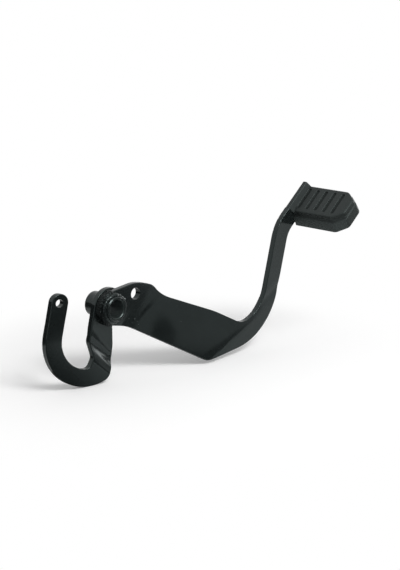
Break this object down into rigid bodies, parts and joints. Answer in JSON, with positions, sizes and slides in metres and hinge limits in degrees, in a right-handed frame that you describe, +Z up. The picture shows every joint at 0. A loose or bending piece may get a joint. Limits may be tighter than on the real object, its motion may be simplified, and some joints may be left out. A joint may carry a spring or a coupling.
{
  "type": "rear brake pedal",
  "caption": "Motorcycle rear brake pedal: folded steel arm and hooked rod lever welded to a pivot tube, with a grooved rubber foot pad at the arm's end.",
  "frame": {"origin": "on the pivot axis, at the middle of the pivot tube, in the plane of the lever's inner face", "axes": "+X forward from the pivot to the foot pad, -Y outward from the machine along the pivot axis, +Z up"},
  "size_m": [0.3275, 0.1244, 0.1615],
  "materials": {
    "arm_paint": "gloss",
    "lever_paint": "gloss",
    "pad_rubber": "satin",
    "plate_paint": "gloss",
    "tube_paint": "gloss",
    "weld_paint": "gloss"
  },
  "bodies": {
    "root": {"pivot_tube": "tube_paint", "pedal_arm": "arm_paint", "hook_lever": "lever_paint", "foot_plate": "plate_paint", "foot_pad": "pad_rubber", "tube_weld": "weld_paint", "inner_weld": "weld_paint", "lever_weld": "weld_paint", "plate_weld": "weld_paint"}
  },
  "joints": []
}
